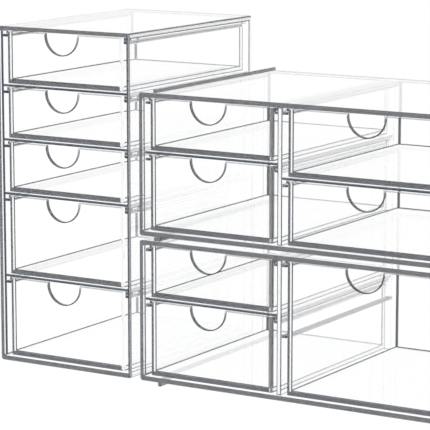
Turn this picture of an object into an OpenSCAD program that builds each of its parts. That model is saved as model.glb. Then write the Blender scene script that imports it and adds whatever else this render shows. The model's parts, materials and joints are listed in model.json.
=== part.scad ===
// Clear organizer drawers: a five-drawer tower beside a stacked pair of wide
// drawer units. Every unit is a one-piece sleeve with a set-in back panel.
// Thin rail panels line the sleeve's side walls, and each drawer hangs from
// its own top flanges, which slide on those rails. Millimetres, +Z up, front
// faces -Y, origin at the centre of the set's footprint on the floor.

/* [Sleeves] */
// Outside width of the tower
tower_w = 138; // [110:1:200]
// Outside width of a wide unit
wide_w = 298; // [260:1:380]
// Outside depth of every unit, front to back
unit_depth = 198; // [150:1:260]
// Thickness of the sleeve's side walls
wall_t = 3.3; // [2.5:0.1:5]
// Thickness of the tower's top plate
tower_top_t = 3.6; // [2.8:0.1:6]
// Thickness of the wide units' top plate
wide_top_t = 4; // [2.8:0.1:6]
// Thickness of every bottom plate
bottom_t = 4.1; // [2.8:0.1:6]
// Radius of the sleeve's four outer edges
sleeve_r = 2.4; // [1:0.1:2.4]
// Radius of the sleeve's four inner edges
sleeve_inner_r = 0.8; // [0.4:0.1:1.6]
// Thickness of the back panel
back_t = 2.2; // [1.5:0.1:4]

/* [Set] */
// Gap between the tower and the wide units
set_gap = 16.6; // [2:0.2:60]
// How far the wide units stand in front of the tower
set_stagger = 12; // [0:0.5:60]

/* [Rail panels and divider] */
// Thickness of the rail panel bonded to each side wall
panel_t = 1.4; // [1:0.1:2.5]
// Setback of rail panels, dividers and shelves from the sleeve's front
inner_setback = 1.6; // [0.5:0.1:2]
// Thickness of the divider between the two columns
divider_t = 4.4; // [2.5:0.1:6]
// Clear width of the left column of a wide unit
left_column_w = 127.4; // [110:0.5:135]
// Width of a rail, out from its panel
rail_w = 4; // [3:0.1:4.2]
// Height of a rail
rail_h = 2.3; // [1.6:0.1:3.5]
// Rail end behind the front edge of its panel
rail_inset = 1.2; // [0.5:0.1:4]
// Rail end in front of the back panel
rail_back_gap = 8; // [3:0.5:20]
// Radius of the rounded lead-in on a rail's front end
rail_nose_r = 1.6; // [0.6:0.1:2.4]
// Thickness of a shelf between two bays
shelf_t = 2.2; // [1.6:0.1:4]

/* [Drawers] */
// Height of the tower's first drawer
tower_first_h = 45.2; // [36:0.2:60]
// Height of the tower's second and third drawers
tower_shallow_h = 43.5; // [36:0.5:60]
// Height of the tower's two deep drawers
tower_deep_h = 69; // [50:0.5:90]
// Height of the wide unit's left top drawer
left_top_h = 43.5; // [36:0.5:56]
// Height of the wide unit's left bottom drawer
left_bottom_h = 63.5; // [50:0.5:80]
// Height of the upper wide unit's right top drawer
right_top_h = 54.8; // [44:0.2:60]
// Gap between a rail panel and the drawer wall beside it
side_gap = 4.9; // [4.7:0.1:6]
// Gap above a drawer
top_gap = 0.9; // [0.5:0.1:2]
// Gap below a drawer
floor_gap = 0.8; // [0.5:0.1:2]
// Setback of the drawer fronts from the sleeve's front
front_setback = 2.5; // [0.5:0.1:5]
// Gap between a closed drawer and the back panel
back_gap = 0.8; // [0.4:0.1:3]
// Thickness of the drawer front
front_t = 3; // [2:0.1:4.5]
// Thickness of the drawer's side and back walls
side_t = 2.5; // [1.8:0.1:3.5]
// Thickness of the drawer's floor
floor_t = 3.2; // [2:0.1:4.5]
// Radius of the drawer's upright outer edges
drawer_r = 0.8; // [0.6:0.1:3]
// Radius of the drawer's upright inner edges
drawer_inner_r = 0.8; // [0.4:0.1:2.5]

/* [Flanges and finger notch] */
// Thickness of a drawer's hanging flange
flange_t = 2.4; // [1.6:0.1:3.5]
// Gap between a flange's edge and the rail panel
flange_gap = 0.8; // [0.4:0.1:1.6]
// Running gap between a flange and the rail under it
run_gap = 0.3; // [0.2:0.05:0.8]
// Radius of the cove between flange and drawer wall
cove_r = 0.6; // [0.2:0.1:0.6]
// Radius of the rounded ends of a flange
flange_nose_r = 1.6; // [0.6:0.1:2.4]
// Width of the finger notch
notch_w = 33; // [24:0.5:44]
// How far the finger notch sits to the left of the drawer's middle
notch_shift = 3; // [0:0.5:8]
// Depth of the finger notch below the drawer's top edge
notch_depth = 18; // [15:0.5:26]

/* [Ribs and feet] */
// Width of a stacking rib on a wide unit's top
rib_w = 3.1; // [2:0.1:5]
// Height of a stacking rib
rib_h = 3.1; // [1.5:0.1:3.4]
// Distance from a wide unit's side to the rib's near face
rib_inset = 13.6; // [8:0.2:24]
// Width of a foot under a wide unit
foot_w = 3.2; // [2:0.1:5]
// Height of a foot
foot_h = 3.6; // [3.5:0.1:7]
// Gap between a rib and the foot that nests beside it
nest_gap = 0.35; // [0.2:0.05:1]
// Setback of ribs and feet from the unit's front and back
strip_setback = 0.8; // [0:0.1:4]
// Chamfer along the free edges of ribs and feet
strip_chamfer = 0.5; // [0.2:0.1:0.9]

/* [Hidden] */

$fn = 48;
eps = 0.01;
cut = 1;

clear_tint = [0.93, 0.95, 0.97, 0.45];
rail_tint = [0.62, 0.65, 0.70, 0.75];
drawer_tint = [0.86, 0.89, 0.93, 0.50];

// Heights, top drawer first in each column.
tower_heights = [
    tower_first_h, tower_shallow_h, tower_shallow_h, tower_deep_h, tower_deep_h
];
bay_gaps = top_gap + floor_gap;
left_heights = [left_top_h, left_bottom_h];
column_h = left_top_h + left_bottom_h + 2 * bay_gaps + shelf_t;
right_bottom_h = column_h - right_top_h - 2 * bay_gaps - shelf_t;
right_heights = [right_top_h, right_bottom_h];
full_h = column_h - bay_gaps;

function total(list, last) = last < 0 ? 0 : list[last] + total(list, last - 1);
// Underside of what closes bay number i, measured down from the top plate.
function bay_drop(heights, i) = total(heights, i - 1) + i * (bay_gaps + shelf_t);

tower_h = bottom_t + tower_top_t + total(tower_heights, 4) + 5 * bay_gaps + 4 * shelf_t;
tower_ceiling = tower_h - tower_top_t;
wide_h = bottom_t + wide_top_t + column_h;
wide_ceiling = wide_h - wide_top_t;

function tower_bay(i) = tower_ceiling - bay_drop(tower_heights, i);
function left_bay(i) = wide_ceiling - bay_drop(left_heights, i);
function right_bay(i) = wide_ceiling - bay_drop(right_heights, i);

// Widths across a unit, from its left outer face.
lining = wall_t + panel_t;
tower_column_w = tower_w - 2 * lining;
divider_x = lining + left_column_w;
right_column_x = divider_x + divider_t;
right_column_w = wide_w - lining - right_column_x;

// Depths, from a unit's front face.
inner_back = unit_depth - back_t;
drawer_depth = inner_back - back_gap - front_setback;
flange_w = side_gap - flange_gap;

// The set on the floor.
set_w = tower_w + set_gap + wide_w;
set_depth = unit_depth + set_stagger;
wide_y = -set_depth / 2;
tower_y = wide_y + set_stagger;
tower_x = -set_w / 2;
wide_x = tower_x + tower_w + set_gap;
lower_z = foot_h;
upper_z = lower_z + wide_h + foot_h;

module in_tower() {
    translate([tower_x, tower_y, 0])
        children();
}

module in_lower() {
    translate([wide_x, wide_y, lower_z])
        children();
}

module in_upper() {
    translate([wide_x, wide_y, upper_z])
        children();
}

// Mirrors its child to the other side of a span of the given width.
module other_side(width) {
    translate([width, 0, 0])
        mirror([1, 0, 0])
            children();
}

// Rectangle with four rounded corners, first corner at the origin.
module rounded_rect(w, h, r) {
    translate([r, 0])
        square([w - 2 * r, h]);
    translate([0, r])
        square([w, h - 2 * r]);
    for (x = [r, w - r], y = [r, h - r])
        translate([x, y])
            circle(r);
}

// Sleeve: a rounded rectangular tube that is open at front and back.
module sleeve(w, h, top_t) {
    color(clear_tint)
        translate([0, unit_depth, 0])
            rotate([90, 0, 0])
                linear_extrude(unit_depth)
                    difference() {
                        rounded_rect(w, h, sleeve_r);
                        translate([wall_t, bottom_t])
                            rounded_rect(w - 2 * wall_t, h - bottom_t - top_t, sleeve_inner_r);
                    }
}

// Back panel: set into the sleeve, flush with its back edge.
module back_panel(w, h, top_t) {
    color(clear_tint)
        translate([wall_t, unit_depth, bottom_t])
            rotate([90, 0, 0])
                linear_extrude(back_t)
                    rounded_rect(w - 2 * wall_t, h - bottom_t - top_t, sleeve_inner_r);
}

// Rail: a bar along Y on the face at x = 0, with a rounded lead-in.
module rail(ceiling) {
    start = inner_setback + rail_inset;
    length = inner_back - rail_back_gap - start;
    top = ceiling - top_gap - flange_t - run_gap;
    translate([0, start, top - rail_h])
        linear_extrude(rail_h) {
            translate([0, rail_nose_r])
                square([rail_w, length - rail_nose_r]);
            square([rail_w - rail_nose_r, rail_nose_r + eps]);
            translate([rail_w - rail_nose_r, rail_nose_r])
                circle(rail_nose_r);
        }
}

// Upright strip of plate between bottom and top plates, from x = 0.
module upright(t, h) {
    translate([0, inner_setback, 0])
        cube([t, inner_back - inner_setback, h]);
}

// Rail panel for the left wall: a thin liner with one rail for each bay.
module rail_panel(h, top_t, ceilings) {
    inner_r = sleeve_inner_r;
    color(rail_tint) {
        translate([wall_t, 0, bottom_t + inner_r])
            upright(panel_t, h - bottom_t - top_t - 2 * inner_r);
        for (ceiling = ceilings)
            translate([lining, 0, 0])
                rail(ceiling);
    }
}

// Divider: a full-height plate with rails on both faces.
module divider(left_ceilings, right_ceilings) {
    color(rail_tint) {
        translate([divider_x, 0, bottom_t])
            upright(divider_t, wide_h - bottom_t - wide_top_t);
        for (ceiling = left_ceilings)
            translate([divider_x, 0, 0])
                mirror([1, 0, 0])
                    rail(ceiling);
        for (ceiling = right_ceilings)
            translate([right_column_x, 0, 0])
                rail(ceiling);
    }
}

// Shelf: closes the bay whose ceiling is its underside. Its front edge is round.
module shelf(x, w, ceiling) {
    nose = shelf_t / 2;
    color(clear_tint)
        translate([x, inner_setback + nose, ceiling]) {
            cube([w, inner_back - inner_setback - nose, shelf_t]);
            translate([0, 0, nose])
                rotate([0, 90, 0])
                    cylinder(r = nose, h = w);
        }
}

// Section of a flange and its cove, to the left of a drawer wall at x = 0.
module flange_section() {
    difference() {
        translate([-flange_w, -flange_t])
            square([flange_w + side_t / 2, flange_t]);
        translate([-flange_w, -flange_t])
            edge_corner(cove_r, 0);
        translate([-flange_w, 0])
            edge_corner(cove_r, -90);
    }
    difference() {
        translate([-cove_r, -flange_t - cove_r])
            square([cove_r + side_t / 2, cove_r + eps]);
        translate([-cove_r, -flange_t - cove_r])
            circle(cove_r);
    }
}

// What rounding takes off a square corner that opens to +X and +Y.
module edge_corner(r, turn) {
    rotate(turn)
        difference() {
            translate([-cut, -cut])
                square([r + cut, r + cut]);
            translate([r, r])
                circle(r);
        }
}

// Flange: hangs the drawer from the rail under it, rounded at both ends.
module flange(h) {
    length = drawer_depth - front_t - drawer_r;
    difference() {
        translate([0, front_t + length, h])
            rotate([90, 0, 0])
                linear_extrude(length)
                    flange_section();
        for (turn = [0, -90])
            translate([-flange_w, turn == 0 ? front_t : front_t + length, h - flange_t - cut])
                linear_extrude(flange_t + 2 * cut)
                    edge_corner(flange_nose_r, turn);
    }
}

// Finger notch: half round at the bottom, open at the drawer's top edge.
module notch(w, h) {
    r = notch_w / 2;
    middle = w / 2 - notch_shift;
    translate([middle, -cut, h - notch_depth + r])
        rotate([-90, 0, 0])
            cylinder(r = r, h = front_t + 2 * cut, $fn = 96);
    translate([middle - r, -cut, h - notch_depth + r])
        cube([notch_w, front_t + 2 * cut, notch_depth]);
}

// Drawer: a moulded box with a thick front, finger notch and two flanges.
module drawer(column_x, column_w, ceiling, h) {
    w = column_w - 2 * side_gap;
    color(drawer_tint)
        translate([column_x + side_gap, front_setback, ceiling - top_gap - h]) {
            difference() {
                linear_extrude(h)
                    rounded_rect(w, drawer_depth, drawer_r);
                translate([side_t, front_t, floor_t])
                    linear_extrude(h)
                        rounded_rect(w - 2 * side_t, drawer_depth - front_t - side_t, drawer_inner_r);
                notch(w, h);
            }
            flange(h);
            other_side(w)
                flange(h);
        }
}

// Plate strip with chamfered free edges, standing on z = 0 and running back.
module strip(w, h) {
    c = strip_chamfer;
    outline = [[0, 0], [w, 0], [w, h - c], [w - c, h], [c, h], [0, h - c]];
    color(rail_tint)
        translate([0, unit_depth - strip_setback, 0])
            rotate([90, 0, 0])
                linear_extrude(unit_depth - 2 * strip_setback)
                    polygon(outline);
}

module rib() {
    translate([rib_inset, 0, wide_h])
        strip(rib_w, rib_h);
}

module foot() {
    translate([rib_inset + rib_w + nest_gap, 0, 0])
        mirror([0, 0, 1])
            strip(foot_w, foot_h);
}

tower_bays = [for (i = [0 : 4]) tower_bay(i)];
left_bays = [for (i = [0 : 1]) left_bay(i)];
right_bays = [for (i = [0 : 1]) right_bay(i)];

// Drawer number i of the tower, counted from the top.
module tower_drawer(i) {
    in_tower()
        drawer(lining, tower_column_w, tower_bays[i], tower_heights[i]);
}

module left_drawer(i) {
    drawer(lining, left_column_w, left_bays[i], left_heights[i]);
}

module right_drawer(ceiling, h) {
    drawer(right_column_x, right_column_w, ceiling, h);
}

// Shelf under drawer number i of the tower, counted from the top.
module tower_shelf(i) {
    in_tower()
        shelf(lining, tower_column_w, tower_bays[i + 1]);
}

module wide_back_panel() {
    back_panel(wide_w, wide_h, wide_top_t);
}

module wide_left_rail_panel() {
    rail_panel(wide_h, wide_top_t, left_bays);
}

module wide_right_rail_panel() {
    other_side(wide_w)
        rail_panel(wide_h, wide_top_t, right_bays);
}

// Tower
module tower_sleeve() {
    in_tower()
        sleeve(tower_w, tower_h, tower_top_t);
}

module tower_back_panel() {
    in_tower()
        back_panel(tower_w, tower_h, tower_top_t);
}

module tower_left_rail_panel() {
    in_tower()
        rail_panel(tower_h, tower_top_t, tower_bays);
}

module tower_right_rail_panel() {
    in_tower()
        other_side(tower_w)
            rail_panel(tower_h, tower_top_t, tower_bays);
}

module tower_shelf_1() {
    tower_shelf(0);
}

module tower_shelf_2() {
    tower_shelf(1);
}

module tower_shelf_3() {
    tower_shelf(2);
}

module tower_shelf_4() {
    tower_shelf(3);
}

module tower_drawer_1() {
    tower_drawer(0);
}

module tower_drawer_2() {
    tower_drawer(1);
}

module tower_drawer_3() {
    tower_drawer(2);
}

module tower_drawer_4() {
    tower_drawer(3);
}

module tower_drawer_5() {
    tower_drawer(4);
}

// Lower wide unit: its right column holds one drawer of full height.
module lower_sleeve() {
    in_lower()
        sleeve(wide_w, wide_h, wide_top_t);
}

module lower_back_panel() {
    in_lower()
        wide_back_panel();
}

module lower_left_rail_panel() {
    in_lower()
        wide_left_rail_panel();
}

module lower_right_rail_panel() {
    in_lower()
        wide_right_rail_panel();
}

module lower_divider() {
    in_lower()
        divider(left_bays, right_bays);
}

module lower_left_shelf() {
    in_lower()
        shelf(lining, left_column_w, left_bays[1]);
}

module lower_left_rib() {
    in_lower()
        rib();
}

module lower_right_rib() {
    in_lower()
        other_side(wide_w)
            rib();
}

module lower_left_foot() {
    in_lower()
        foot();
}

module lower_right_foot() {
    in_lower()
        other_side(wide_w)
            foot();
}

module lower_left_top_drawer() {
    in_lower()
        left_drawer(0);
}

module lower_left_bottom_drawer() {
    in_lower()
        left_drawer(1);
}

module lower_right_drawer() {
    in_lower()
        right_drawer(right_bays[0], full_h);
}

// Upper wide unit: a shelf splits its right column for two drawers.
module upper_sleeve() {
    in_upper()
        sleeve(wide_w, wide_h, wide_top_t);
}

module upper_back_panel() {
    in_upper()
        wide_back_panel();
}

module upper_left_rail_panel() {
    in_upper()
        wide_left_rail_panel();
}

module upper_right_rail_panel() {
    in_upper()
        wide_right_rail_panel();
}

module upper_divider() {
    in_upper()
        divider(left_bays, right_bays);
}

module upper_left_shelf() {
    in_upper()
        shelf(lining, left_column_w, left_bays[1]);
}

module upper_right_shelf() {
    in_upper()
        shelf(right_column_x, right_column_w, right_bays[1]);
}

module upper_left_rib() {
    in_upper()
        rib();
}

module upper_right_rib() {
    in_upper()
        other_side(wide_w)
            rib();
}

module upper_left_foot() {
    in_upper()
        foot();
}

module upper_right_foot() {
    in_upper()
        other_side(wide_w)
            foot();
}

module upper_left_top_drawer() {
    in_upper()
        left_drawer(0);
}

module upper_left_bottom_drawer() {
    in_upper()
        left_drawer(1);
}

module upper_right_top_drawer() {
    in_upper()
        right_drawer(right_bays[0], right_heights[0]);
}

module upper_right_bottom_drawer() {
    in_upper()
        right_drawer(right_bays[1], right_heights[1]);
}

tower_sleeve();
tower_back_panel();
tower_left_rail_panel();
tower_right_rail_panel();
tower_shelf_1();
tower_shelf_2();
tower_shelf_3();
tower_shelf_4();
tower_drawer_1();
tower_drawer_2();
tower_drawer_3();
tower_drawer_4();
tower_drawer_5();
lower_sleeve();
lower_back_panel();
lower_left_rail_panel();
lower_right_rail_panel();
lower_divider();
lower_left_shelf();
lower_left_rib();
lower_right_rib();
lower_left_foot();
lower_right_foot();
lower_left_top_drawer();
lower_left_bottom_drawer();
lower_right_drawer();
upper_sleeve();
upper_back_panel();
upper_left_rail_panel();
upper_right_rail_panel();
upper_divider();
upper_left_shelf();
upper_right_shelf();
upper_left_rib();
upper_right_rib();
upper_left_foot();
upper_right_foot();
upper_left_top_drawer();
upper_left_bottom_drawer();
upper_right_top_drawer();
upper_right_bottom_drawer();
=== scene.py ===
# %% [markdown]
# # Clear organizer drawers
#
# The object is a set of clear acrylic units: a tower of five drawers beside two wide units that
# stack. An imported CAD model gives every plate, rail and drawer its true size and place. This
# lesson dresses that model: each part gets softened, polished edges, painted shade on its edges and
# rims, and a clear plastic that behaves like the real one, and the set stands in a plain white
# studio.
#
# Everything is in metres, with Z up and the drawer fronts facing -Y.

# %% Load the imported model
import json
import math

import bmesh
import bpy
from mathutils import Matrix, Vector


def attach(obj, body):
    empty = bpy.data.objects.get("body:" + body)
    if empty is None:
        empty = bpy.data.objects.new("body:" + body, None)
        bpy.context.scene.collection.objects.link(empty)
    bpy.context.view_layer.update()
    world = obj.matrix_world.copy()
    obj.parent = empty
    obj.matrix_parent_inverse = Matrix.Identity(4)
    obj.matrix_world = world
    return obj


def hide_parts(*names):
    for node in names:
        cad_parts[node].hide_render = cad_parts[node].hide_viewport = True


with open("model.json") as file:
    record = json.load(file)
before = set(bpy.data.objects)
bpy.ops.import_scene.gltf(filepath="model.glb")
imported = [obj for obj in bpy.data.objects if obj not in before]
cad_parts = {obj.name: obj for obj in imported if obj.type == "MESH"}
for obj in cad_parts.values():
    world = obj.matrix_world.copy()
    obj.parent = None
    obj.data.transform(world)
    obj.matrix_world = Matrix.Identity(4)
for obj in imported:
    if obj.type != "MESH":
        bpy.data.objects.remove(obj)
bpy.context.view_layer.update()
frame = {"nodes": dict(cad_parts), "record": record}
MM = 0.001

# %% [markdown]
# ## Colours and nodes
#
# Colours are written as sRGB hex, as a colour picker shows them, and Blender's nodes work in
# linear light, so one function turns the first into the second. A second small function adds a
# node with its settings and links, which keeps each material readable as a list of steps.

# %% Helpers for colours and nodes
def linear(hex_colour):
    """An sRGB hex colour as linear RGB with alpha 1."""
    channels = [int(hex_colour[i:i + 2], 16) / 255 for i in (1, 3, 5)]
    return [c / 12.92 if c <= 0.04045 else ((c + 0.055) / 1.055) ** 2.4 for c in channels] + [1]


def add_node(tree, kind, settings=(), inputs=(), links=()):
    """Adds a node and sets it up. A link is (own socket, other node, the other's socket)."""
    node = tree.nodes.new(kind)
    for name, value in dict(settings).items():
        setattr(node, name, value)
    for name, value in dict(inputs).items():
        node.inputs[name].default_value = value
    for name, other, socket in links:
        tree.links.new(other.outputs[socket], node.inputs[name])
    return node


WHITE = linear("#ffffff")
print("white", WHITE, "mid grey", [round(c, 3) for c in linear("#808080")])

# %% [markdown]
# ## The surface of a plastic face
#
# A polished face isn't perfect. Under its gloss lie two small patterns: the slow waves that
# extruding or moulding leaves, and the fine scuffs of wiping. Bump gives the waves, with their
# real depth, and only the highest parts of a finer noise give any roughness, so that most of the
# face stays glass-clear.

# %% Waves and scuffs
SCUFF_STARTS, SCUFF_FULL, SCUFF_ROUGHNESS = 0.62, 0.8, 0.02


def waves_and_scuffs(tree, wave_mm, wave_depth_mm, scuff_mm):
    """Adds both patterns, and gives the Bump node and the roughness node."""
    place = add_node(tree, "ShaderNodeTexCoord")
    waves = add_node(tree, "ShaderNodeTexNoise",
                     inputs={"Scale": 1 / (wave_mm * MM), "Detail": 1.0},
                     links=[("Vector", place, "Object")])
    bump = add_node(tree, "ShaderNodeBump",
                    inputs={"Strength": 1.0, "Distance": wave_depth_mm * MM},
                    links=[("Height", waves, "Fac")])
    scuffs = add_node(tree, "ShaderNodeTexNoise",
                      inputs={"Scale": 1 / (scuff_mm * MM), "Detail": 4.0},
                      links=[("Vector", place, "Object")])
    rough = add_node(tree, "ShaderNodeMapRange",
                     inputs={"From Min": SCUFF_STARTS, "From Max": SCUFF_FULL,
                             "To Min": 0.0, "To Max": SCUFF_ROUGHNESS},
                     links=[("Value", scuffs, "Fac")])
    return bump, rough


print("scuffs reach a roughness of", SCUFF_ROUGHNESS)

# %% [markdown]
# ## Dark edges
#
# The faces of clear plastic are nearly invisible, and what the eye reads is the edges: light that
# comes out of an edge has run a long way inside a plate, or comes from the dark of the room, so a
# plate's rim looks grey and every corner is drawn as a thin dark line. A studio that is white all
# round has no dark for the edges to show. So that shade is painted: how dark a face reads is kept
# on the mesh, in the attribute painted_edge_shade, from 0 for a clear face to 1 for a corner, and
# darkens the face's colour.
#
# Stacked plates throw light to and fro, and painted shade at every crossing would turn the whole
# set grey. It therefore counts only on a path that no mirror reflection has turned yet, and only at
# the first nine faces that the path goes through. This goes by the path alone, so it works the same
# from every side. A bake starts at the face itself, where both depths are 0, and keeps the painted
# shade.

# %% Painted shade of the edges
FACES_THAT_COUNT = 9


def edge_shade_paint(tree, rays, edge_shade_hex):
    """White that goes to the colour of the painted edge shade, as far as the face is marked and the
    path counts.
    """
    mark = add_node(tree, "ShaderNodeAttribute", settings={"attribute_name": "painted_edge_shade"})
    straight = add_node(tree, "ShaderNodeMath", settings={"operation": "LESS_THAN"},
                        inputs={1: 0.5}, links=[(0, rays, "Glossy Depth")])
    near = add_node(tree, "ShaderNodeMath", settings={"operation": "LESS_THAN"},
                    inputs={1: FACES_THAT_COUNT - 0.5}, links=[(0, rays, "Transmission Depth")])
    counts = add_node(tree, "ShaderNodeMath", settings={"operation": "MULTIPLY"},
                      links=[(0, straight, 0), (1, near, 0)])
    line = add_node(tree, "ShaderNodeMath", settings={"operation": "MULTIPLY"},
                    links=[(0, mark, "Fac"), (1, counts, 0)])
    # On a colour Mix, sockets 6 and 7 are the two colours and 2 is the result.
    return add_node(tree, "ShaderNodeMix", settings={"data_type": "RGBA"},
                    inputs={6: WHITE, 7: linear(edge_shade_hex)}, links=[(0, line, 0)])


print("an edge is tinted at the first", FACES_THAT_COUNT, "faces of a path")

# %% [markdown]
# ## Clear acrylic
#
# Acrylic (PMMA) has an index of refraction of 1.49, and takes up a little light on every
# centimetre, which a Volume Absorption node does. Lamps have to shine through the walls onto the
# table, so a shadow ray meets a Transparent shader instead: without it, clear walls would throw
# black shadows.

# %% Clear plastic materials
ACRYLIC_IOR = 1.49


def clear_plastic(name, edge_shade_hex, takes_up, wave_mm, wave_depth_mm, scuff_mm):
    """A clear polished plastic with painted edge shade. takes_up is the light lost per metre, for
    red, green and blue.
    """
    material = bpy.data.materials.new(name)
    material.use_nodes = True
    tree = material.node_tree
    tree.nodes.clear()
    bump, rough = waves_and_scuffs(tree, wave_mm, wave_depth_mm, scuff_mm)
    rays = add_node(tree, "ShaderNodeLightPath")
    # The base colour carries the painted edge shade.
    edge_shade_colour = edge_shade_paint(tree, rays, edge_shade_hex)
    plastic = add_node(tree, "ShaderNodeBsdfPrincipled",
                       inputs={"Transmission Weight": 1.0, "IOR": ACRYLIC_IOR},
                       links=[("Base Color", edge_shade_colour, 2), ("Roughness", rough, 0),
                              ("Normal", bump, 0)])
    lamp_way = add_node(tree, "ShaderNodeBsdfTransparent", inputs={"Color": linear("#fafbfd")})
    surface = add_node(tree, "ShaderNodeMixShader",
                       links=[(0, rays, "Is Shadow Ray"), (1, plastic, 0), (2, lamp_way, 0)])
    # The absorption node takes up density times (1 - colour), so both follow from takes_up.
    density = max(takes_up)
    inside = add_node(tree, "ShaderNodeVolumeAbsorption",
                      inputs={"Color": [1 - t / density for t in takes_up] + [1],
                              "Density": density})
    add_node(tree, "ShaderNodeOutputMaterial",
             links=[("Surface", surface, 0), ("Volume", inside, 0)])
    return material


# Extruded acrylic sheet, for the sleeves, panels, shelves and strips: it gives the eye faces as
# clear as window glass, with long slow waves that hardly bend a line, and sawn rims in a cool grey
# that is painted shade.
extruded = clear_plastic("extruded_acrylic", edge_shade_hex="#060c16", takes_up=(0.3, 0.26, 0.22),
                         wave_mm=60, wave_depth_mm=0.004, scuff_mm=1.5)
# Moulded acrylic, for the drawers: it gives the eye shorter waves, where the melt ran into the
# mould, a slightly deeper blue along thick parts, and finer scuffs from hands and contents.
# The drawers' edges take the same blue-black as painted shade.
moulded = clear_plastic("moulded_acrylic", edge_shade_hex="#060c16", takes_up=(0.4, 0.35, 0.3),
                        wave_mm=25, wave_depth_mm=0.004, scuff_mm=1.2)
print("materials", [m.name for m in bpy.data.materials])

# %% [markdown]
# ## Working on a copy
#
# Each part starts as a copy of its CAD solid. The copy's loose triangles are merged and its flat
# faces made whole, so that a face can be picked by its direction and its width. It is shaded flat,
# because a plate that light passes through has to be truly flat: bent normals would act as a lens.

# %% Copy a part
MERGE_MM = 0.001
FLAT_DEGREES = 0.5


def working_copy(node):
    """A copy of a CAD node with merged points and whole faces, left in edit mode."""
    piece = bpy.data.objects.new(node + "_clear", frame["nodes"][node].data.copy())
    bpy.context.collection.objects.link(piece)
    bpy.ops.object.select_all(action="DESELECT")
    piece.select_set(True)
    bpy.context.view_layer.objects.active = piece
    bpy.ops.mesh.customdata_custom_splitnormals_clear()
    bpy.ops.object.shade_flat()
    bpy.ops.object.mode_set(mode="EDIT")
    bpy.ops.mesh.select_mode(type="FACE")
    bpy.ops.mesh.select_all(action="SELECT")
    bpy.ops.mesh.remove_doubles(threshold=MERGE_MM * MM)
    bpy.ops.mesh.dissolve_limited(angle_limit=math.radians(FLAT_DEGREES))
    shape = bmesh.from_edit_mesh(piece.data)
    shape.faces.layers.float.new("painted_edge_shade")
    bmesh.update_edit_mesh(piece.data)
    return piece


print("points closer than", MERGE_MM, "mm become one, and faces within", FLAT_DEGREES, "degrees")

# %% [markdown]
# ## Picking faces
#
# By hand one would click a face. In code a face is picked by a test: which way it looks, how wide
# it is, where its middle lies. Such tests still hold when a size of the CAD model changes, and a
# list of face numbers wouldn't.

# %% Tests for faces
NARROW = 4.7 * MM
SAME_PLACE = 0.1 * MM


def face_width(face):
    """The width of a long face: 2 times area over outline."""
    return 2 * face.calc_area() / face.calc_perimeter()


def middle(face):
    """The middle of a face, as a point with x, y and z."""
    return face.calc_center_median()


def facing(axis, sign):
    """A test for faces that look along an axis (0, 1, 2) in one direction."""
    return lambda face: face.normal[axis] * sign > 0.999


def is_large(face):
    """True for the broad sides of a plate or a drawer, false for its rims and small ends."""
    return face_width(face) > NARROW


def is_rim(face):
    """True for faces that look to the front or the back."""
    return abs(face.normal.y) > 0.99


def span(piece):
    """The lowest and highest corner of a piece that is in edit mode."""
    shape = bmesh.from_edit_mesh(piece.data)
    points = [v.co for v in shape.verts]
    return [[end(p[i] for p in points) for i in range(3)] for end in (min, max)]


print("rims and ends are narrower than", round(NARROW / MM, 1), "mm")

# %% [markdown]
# ## Cutting and marking faces
#
# A painted dark line of shade along an outline needs a face of its own, so the picked faces are
# inset, or cut by a plane. The attribute painted_edge_shade, the painted shade, is then written on
# each, face by face. It could be painted on the points instead, but then a line would fade across a
# face where the real one stops sharply.

# %% Pick, cut and mark
# Amounts of painted shade: 0 leaves a face clear, 1 paints it as dark as a corner.
CLEAR, CORNER = 0.0, 1.0


def pick(piece, test):
    """Selects only the faces that pass the test, and says how many there are."""
    shape = bmesh.from_edit_mesh(piece.data)
    for face in shape.faces:
        face.select_set(False)
    found = [face for face in shape.faces if test(face)]
    for face in found:
        face.select_set(True)
    bmesh.update_edit_mesh(piece.data)
    return len(found)


def cut(piece, test, axis, place):
    """Cuts the faces that pass the test where a plane square to an axis meets them."""
    point, normal = [0, 0, 0], [0, 0, 0]
    point[axis], normal[axis] = place, 1
    pick(piece, test)
    bpy.ops.mesh.bisect(plane_co=point, plane_no=normal)


def darken(piece, amount, test=None):
    """Writes painted shade, the attribute painted_edge_shade, on the picked faces, or on those that
    pass the test.
    """
    shape = bmesh.from_edit_mesh(piece.data)
    layer = shape.faces.layers.float["painted_edge_shade"]
    for face in shape.faces:
        if face.select if test is None else test(face):
            face[layer] = amount
    bmesh.update_edit_mesh(piece.data)


def line_along_outline(piece, test, line_mm, amount):
    """Insets the faces that pass the test. The strip along their outline gets the amount of painted
    shade.
    """
    if pick(piece, test):
        darken(piece, amount)
        bpy.ops.mesh.inset(thickness=line_mm * MM, use_even_offset=True, use_boundary=True)
        darken(piece, CLEAR)


print("marks go from", CLEAR, "for a clear face to", CORNER, "for a corner")

# %% [markdown]
# ## Sleeves and back panels
#
# A sleeve's sawn front and back rims get painted grey shade, and its rounded long corners a painted
# dark line each. A back panel gets a thin painted line around it.
#
# The marks are steep near 1: 0.6 reads as a pale grey, 0.93 as a middle grey, and 0.99 is nearly
# as dark as a corner.

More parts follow.
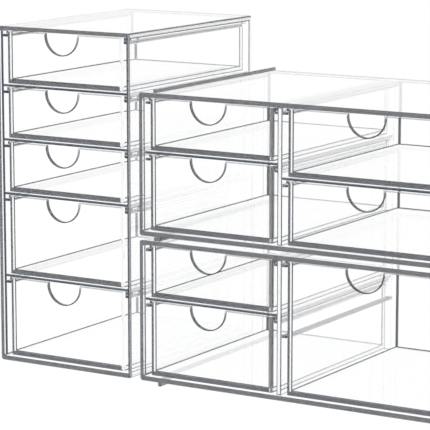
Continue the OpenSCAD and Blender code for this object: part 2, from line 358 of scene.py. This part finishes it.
# %% How sleeves and back panels are marked
def mark_sleeve(piece):
    """Painted grey shade on the sawn rims, with one painted dark line inside the right wall's rim,
    and painted lines on the corners.
    """
    rim, right_line, right_rim, top_end, long_corner = 0.972, 0.995, 0.9, 0.97, 0.93
    low, high = span(piece)
    line_from, line_to, top_from = high[0] - 3.3 * MM, high[0] - 2.2 * MM, high[1] - 4 * MM
    for x in (line_from, line_to):
        cut(piece, is_rim, 0, x)
    cut(piece, lambda f: facing(2, 1)(f) and middle(f).z > high[2] - 1 * MM, 1, top_from)
    darken(piece, rim, is_rim)
    darken(piece, right_line, lambda f: is_rim(f) and middle(f).x > line_from)
    darken(piece, right_rim, lambda f: is_rim(f) and middle(f).x > line_to)
    darken(piece, top_end, lambda f: facing(2, 1)(f) and middle(f).y > top_from)
    darken(piece, long_corner, lambda f: abs(f.normal.x * f.normal.z) > 0.4)


def mark_back(piece):
    """A thin painted dark line around both sides of the panel, and painted grey shade on the rims.
    """
    outline, rim = 0.95, 0.8
    for sign in (-1, 1):
        line_along_outline(piece, facing(1, sign), 0.5, outline)
    darken(piece, rim, lambda f: abs(f.normal.y) < 0.5)


print("sleeves", sum("sleeve" in node for node in frame["nodes"]),
      "back panels", sum("back_panel" in node for node in frame["nodes"]))

# %% [markdown]
# ## Liners, dividers and strips
#
# The liners and dividers carry a small rail for each drawer. A rail is drawn by painted shade: its
# top, side and underside as grey lines, and its front end as a dark dot. In the upper unit, where
# one looks down on them through the clear top, the rails get almost no painted shade. A divider's
# front rim is clear in its middle, with a painted dark line on both sides, and the other plates get
# a painted outline.

# %% How liners, dividers, shelves and strips are marked
def mark_rails(piece):
    """Paints shade on a liner or a divider: its rails, its front and back rims, and its outline."""
    rail = 0.1 if "upper" in piece.name else 0.85
    rim = CORNER if "tower" in piece.name else 0.96
    outline = 0.98
    low, high = span(piece)

    def on_plate(face):
        return abs(face.normal.x) > 0.99 and low[0] + 1 * MM < middle(face).x < high[0] - 1 * MM

    def is_rail(face):
        return abs(face.normal.y) < 0.5 and face_width(face) < NARROW and not on_plate(face)

    darken(piece, rail, is_rail)
    darken(piece, rim, is_rim)
    if "tower_left" in piece.name:
        front = low[1] + 1.4 * MM
        cut(piece, lambda f: facing(0, 1)(f) and is_large(f), 1, front)
        darken(piece, CORNER, lambda f: facing(0, 1)(f) and middle(f).y < front)
    if "divider" in piece.name:
        for sign in (-1, 1):
            line_along_outline(piece, lambda f: f.normal.y * sign > 0.99
                               and face_width(f) > 3 * MM, 0.9, outline)
    else:
        outward = facing(0, -1 if "left" in piece.name else 1)
        line_along_outline(piece, lambda f: outward(f) and is_large(f), 0.6, outline)


def mark_shelf(piece):
    """Pale painted shade on the rims, because a shelf is thin and its rims lie behind other plates.
    """
    darken(piece, 0.6, lambda f: face_width(f) < NARROW)


def mark_strip(piece):
    """Paints shade on a stacking rib or foot: grey along its length, darker at its ends and
    corners.
    """
    along, end = 0.8, 0.97
    darken(piece, along, lambda f: abs(f.normal.y) < 0.5)
    darken(piece, end, lambda f: abs(f.normal.y) > 0.9 or face_width(f) < 1 * MM)


print("liners", sum("rail_panel" in node for node in frame["nodes"]),
      "dividers", sum("divider" in node for node in frame["nodes"]))

# %% [markdown]
# ## Drawers
#
# A drawer is one moulding, so light that enters the end of a wall or of the floor stays in it.
# Seen from the front, the left wall and the floor are painted as grey bands of shade behind the
# clear front, and the finger notch is drawn by painted shade on the thickness of the front.
#
# The flanges stand out at both sides, so the walls' own places are measured inside them.

# %% A drawer's walls and floor
WALL, FLOOR, FLANGE = 2.5 * MM, 3.6 * MM, 4.1 * MM


def outline_drawer(piece):
    """One thin painted dark line of shade along the outline of every broad side, inside and
    outside.
    """
    side_line, end_line = 0.995, 0.99
    for axis, line_mm, amount in ((0, 1.0, side_line), (2, 0.6, side_line), (1, 0.9, end_line)):
        for sign in (-1, 1):
            line_along_outline(piece, lambda f: facing(axis, sign)(f) and is_large(f),
                               line_mm, amount)


def band_drawer_end(piece, low, high, end, sign, band):
    """Paints grey shade where the left wall and the floor meet the drawer's front or back."""
    near_end = lambda f: abs(middle(f).y - end) < SAME_PLACE
    whole = lambda f: facing(1, sign)(f) and near_end(f) and is_large(f)
    for axis, place in ((0, low[0] + WALL), (0, high[0] - WALL), (2, low[2] + FLOOR)):
        cut(piece, whole, axis, place)
    at_wall = lambda f: facing(1, sign)(f) and middle(f).x < low[0] + WALL
    at_floor = lambda f: facing(1, sign)(f) and middle(f).z < low[2] + FLOOR
    inside = lambda f: near_end(f) and face_width(f) > 0.5 * MM
    darken(piece, band, lambda f: inside(f) and (at_wall(f) or at_floor(f)))


print("wall, floor and flange in mm", [round(v / MM, 1) for v in (WALL, FLOOR, FLANGE)])

# %% [markdown]
# ## Rims, notch and flanges
#
# The notch is a U in the top of the thick front, so its wall is as wide as the front is thick and
# gets a painted dark band of shade. A flange gets almost no painted shade along its length and dark
# painted shade at its ends, where one looks into it.
#
# The fillets in the drawer's front right corner would read as a broad painted dark band beside the
# wall's own line. So the drawer also gives a rule for how much of its painted shade a face there
# keeps.

# %% How drawers are marked
def mark_drawer(piece):
    """Paints shade on a drawer, and gives the rule for how much of its painted shade each face
    keeps.
    """
    # Each of these is an amount of painted shade.
    front_band, back_band, rim, notch_wall = 0.98, 0.6, 0.6, 0.985
    flange_side, flange_end, front_rim = 0.1, 0.985, 0.5
    low, high = span(piece)
    low[0] += FLANGE
    high[0] -= FLANGE
    outline_drawer(piece)
    band_drawer_end(piece, low, high, low[1], -1, front_band)
    band_drawer_end(piece, low, high, high[1], 1, back_band)
    darken(piece, rim, lambda f: f.normal.z > 0.99 and face_width(f) < NARROW)

    def in_notch(face):
        x, y = middle(face).x, middle(face).y
        return y < low[1] + 3 * MM and low[0] + 9 * MM < x < high[0] - 9 * MM

    darken(piece, notch_wall, lambda f: abs(f.normal.y) < 0.1 and in_notch(f)
           and f.normal.z > -0.1 and face_width(f) < 2 * MM)
    hair = 0.2 * MM
    on_flange = lambda f: not low[0] - hair < middle(f).x < high[0] + hair
    darken(piece, flange_side, lambda f: on_flange(f) and abs(f.normal.y) < 0.3)
    darken(piece, flange_end, lambda f: on_flange(f) and abs(f.normal.y) >= 0.3)
    darken(piece, front_rim, lambda f: is_rim(f) and middle(f).z > high[2] - 1.2 * MM
           and middle(f).y < low[1] + 4 * MM)
    kept_in_corner = 0.0 if "tower" in piece.name else 0.93

    def share_kept(face):
        x, y = middle(face).x, middle(face).y
        in_corner = high[0] - 4 * MM < x < high[0] + 0.1 * MM and y < low[1] + 4.5 * MM
        return kept_in_corner if in_corner else 1.0

    return share_kept


print("drawers", sum("drawer" in node for node in frame["nodes"]))

# %% [markdown]
# ## Softening the edges
#
# A real plate has no perfectly sharp edge: sawing, flame polishing or the mould leaves a radius of
# a few tenths of a millimetre. The copy is drawn in by a twentieth of a millimetre, so that two
# plates that touch keep a hair of air between them, as they do in the real unit, and a Bevel
# modifier rounds its edges. The narrow strips that it makes are the corners, so they get the
# darkest painted shade.

# %% Finish a piece
HAIR_OF_AIR = 0.05 * MM
EDGE_MM = 0.3
SHARP_DEGREES = 30
CORNER_STRIP = 0.28 * MM  # each strip of the bevel is narrower than this, and all else is wider


def polish(piece, node, material, body, share_kept=None):
    """Draws the piece in by a hair, rounds its edges, paints them with dark shade and hands it to
    the frame.
    """
    bpy.ops.mesh.select_all(action="SELECT")
    bpy.ops.transform.shrink_fatten(value=-HAIR_OF_AIR, use_even_offset=True)
    bpy.ops.object.mode_set(mode="OBJECT")
    edges = piece.modifiers.new("polished edges", "BEVEL")
    edges.width = EDGE_MM * MM
    edges.segments = 2
    edges.angle_limit = math.radians(SHARP_DEGREES)
    bpy.ops.object.modifier_apply(modifier=edges.name)
    shape = bmesh.new()
    shape.from_mesh(piece.data)
    layer = shape.faces.layers.float["painted_edge_shade"]
    for face in shape.faces:
        # A bevel strip gets the darkest painted shade.
        if face_width(face) < CORNER_STRIP:
            face[layer] = CORNER
        if share_kept is not None:
            face[layer] *= share_kept(face)
    shape.to_mesh(piece.data)
    shape.free()
    piece.data.materials.clear()
    piece.data.materials.append(material)
    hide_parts(node)
    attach(piece, body)


print("edges rounded to", EDGE_MM, "mm, pieces drawn in by", round(HAIR_OF_AIR / MM, 2), "mm")

# %% [markdown]
# ## Every part in turn
#
# The bodies say which parts move together: the root body is all that stays on the table, and
# each drawer is a body of its own.

# %% Dress all parts
bodies = frame["record"]["behaviour"]["bodies"]
body_of_node = {node: body for body, nodes in bodies.items() for node in nodes}
slot_of_node = {s["node"]: s["material_slot"] for s in frame["record"]["subparts"]}
kinds = {"drawer": mark_drawer, "sleeve": mark_sleeve, "back_panel": mark_back,
         "rail_panel": mark_rails, "divider": mark_rails, "shelf": mark_shelf,
         "rib": mark_strip, "foot": mark_strip}
for node in frame["nodes"]:
    mark = next(kinds[kind] for kind in kinds if kind in node)
    slot = slot_of_node[node]
    material = moulded if slot == "drawer_plastic" else extruded
    piece = working_copy(node)
    share_kept = mark(piece)
    polish(piece, node, material, body_of_node[node], share_kept)
print("dressed", len(frame["nodes"]))

# %% [markdown]
# ## Table and room
#
# The set stands on a plain white table in a white room. Clear plastic shows what is behind it, so
# the table and the room are white for rays that the camera, a reflection or the plastic sends
# out, and plainer for the light that falls on the table, which keeps the set's soft shadow.

# %% Table and room
def seen_share(tree):
    """A value of 1 for a ray that is seen, directly, in a reflection or through the plastic."""
    rays = add_node(tree, "ShaderNodeLightPath")
    direct = add_node(tree, "ShaderNodeMath", settings={"operation": "ADD"},
                      links=[(0, rays, "Is Camera Ray"), (1, rays, "Is Glossy Ray")])
    return add_node(tree, "ShaderNodeMath", settings={"operation": "ADD", "use_clamp": True},
                    links=[(0, direct, 0), (1, rays, "Is Transmission Ray")])


def white_table(size, glow_share=0.95, glow_strength=1.03):
    """The floor of the scene. To the eye it is nearly all white glow, to the lamps plain white."""
    bpy.ops.object.select_all(action="DESELECT")
    bpy.ops.mesh.primitive_plane_add(size=size)
    table = bpy.context.object
    table.name = "table"
    # White laminate with a matt face: it gives the eye an even white and a soft grey shadow.
    material = bpy.data.materials.new("white_table")
    material.use_nodes = True
    tree = material.node_tree
    tree.nodes.clear()
    share = add_node(tree, "ShaderNodeMath", settings={"operation": "MULTIPLY"},
                     inputs={1: glow_share}, links=[(0, seen_share(tree), 0)])
    matt = add_node(tree, "ShaderNodeBsdfDiffuse", inputs={"Color": linear("#f2f2f2")})
    glow = add_node(tree, "ShaderNodeEmission", inputs={"Color": WHITE, "Strength": glow_strength})
    mix = add_node(tree, "ShaderNodeMixShader", links=[(0, share, 0), (1, matt, 0), (2, glow, 0)])
    add_node(tree, "ShaderNodeOutputMaterial", links=[("Surface", mix, 0)])
    table.data.materials.append(material)


def white_room(light_strength=0.6):
    """A world that looks white and lights the set more softly than it looks."""
    world = bpy.data.worlds.new("studio")
    bpy.context.scene.world = world
    world.use_nodes = True
    tree = world.node_tree
    tree.nodes.clear()
    seen = seen_share(tree)
    soft = add_node(tree, "ShaderNodeBackground",
                    inputs={"Color": WHITE, "Strength": light_strength})
    white = add_node(tree, "ShaderNodeBackground", inputs={"Color": WHITE, "Strength": 1.0})
    mix = add_node(tree, "ShaderNodeMixShader", links=[(0, seen, 0), (1, soft, 0), (2, white, 0)])
    add_node(tree, "ShaderNodeOutputWorld", links=[("Surface", mix, 0)])


white_table(size=8)
white_room()
print("stage", bpy.context.object.name, "world", bpy.context.scene.world.name)

# %% [markdown]
# ## Lamps
#
# Two large round lamps give a soft key from the left and a weaker fill from the right. They aren't
# seen through the plastic, where a bright disk would show in every wall.

# %% Lamps
def lamp(name, place, size, power, aim=(0, 0, 0.1)):
    """A round soft lamp that points at the set and isn't seen itself."""
    data = bpy.data.lights.new(name, "AREA")
    data.shape = "DISK"
    data.size = size
    data.energy = power
    shone = bpy.data.objects.new(name, data)
    shone.location = place
    shone.rotation_euler = (Vector(aim) - Vector(place)).to_track_quat("-Z", "Y").to_euler()
    shone.visible_camera = False
    shone.visible_transmission = False
    bpy.context.collection.objects.link(shone)


lamp("key", place=(-1.2, -1.3, 2.2), size=1.4, power=26)
lamp("fill", place=(1.6, -0.6, 1.8), size=1.6, power=12)
print("lamps", [light.name for light in bpy.data.lights])

# %% [markdown]
# ## View and light paths
#
# The camera stands at the photo's place: a long lens, 32 degrees to the right of the fronts and
# 10 degrees above them. A ray has to pass many walls, and one that runs inside a plate bounces
# dozens of times, so the paths are allowed to be long.

# %% Camera and light paths
LENS_MM, TURNED_DEGREES, DOWN_DEGREES = 199.8, 31.65, 9.907
LONG_PATH = 200
camera = bpy.data.objects.new("camera", bpy.data.cameras.new("camera"))
camera.data.sensor_width = 36
camera.data.lens = LENS_MM
camera.location = (1.0129, -1.7442, 0.4883)
camera.rotation_euler = (math.radians(90 - DOWN_DEGREES), 0, math.radians(TURNED_DEGREES))
bpy.context.collection.objects.link(camera)
scene = bpy.context.scene
scene.camera = camera
scene.view_settings.view_transform = "Standard"
for limit in ("max_bounces", "transmission_bounces", "glossy_bounces", "transparent_max_bounces"):
    setattr(scene.cycles, limit, LONG_PATH)
print("camera", [round(v, 3) for v in camera.location], "longest path", LONG_PATH)
